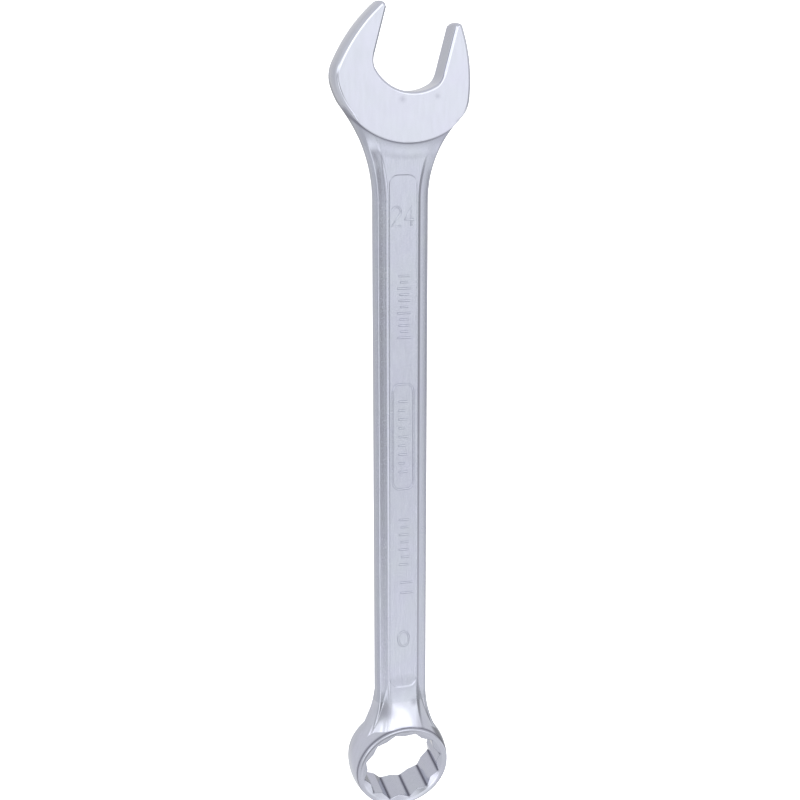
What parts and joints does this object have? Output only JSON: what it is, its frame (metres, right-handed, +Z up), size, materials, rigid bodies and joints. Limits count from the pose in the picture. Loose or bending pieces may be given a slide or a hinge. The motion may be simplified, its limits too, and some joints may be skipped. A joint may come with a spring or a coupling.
{
  "type": "combination wrench",
  "caption": "Flat steel wrench with an angled open jaw at one end and an offset 12-point ring of the same size at the other.",
  "frame": {"origin": "centre of the footprint, on the bench that the wrench lies on, front face up", "axes": "+Y along the wrench from the ring to the open end; +Z up out of the front face; +X towards the side that the open jaw leans to"},
  "size_m": [0.046, 0.2752, 0.0207],
  "materials": {
    "polished_chrome": "chrome plated steel, ground and polished on the faces",
    "satin_chrome": "chrome plated steel, fine satin along the shank"
  },
  "bodies": {
    "root": {"open_end_head": "polished_chrome", "shank": "satin_chrome", "ring_head": "polished_chrome"}
  },
  "joints": []
}
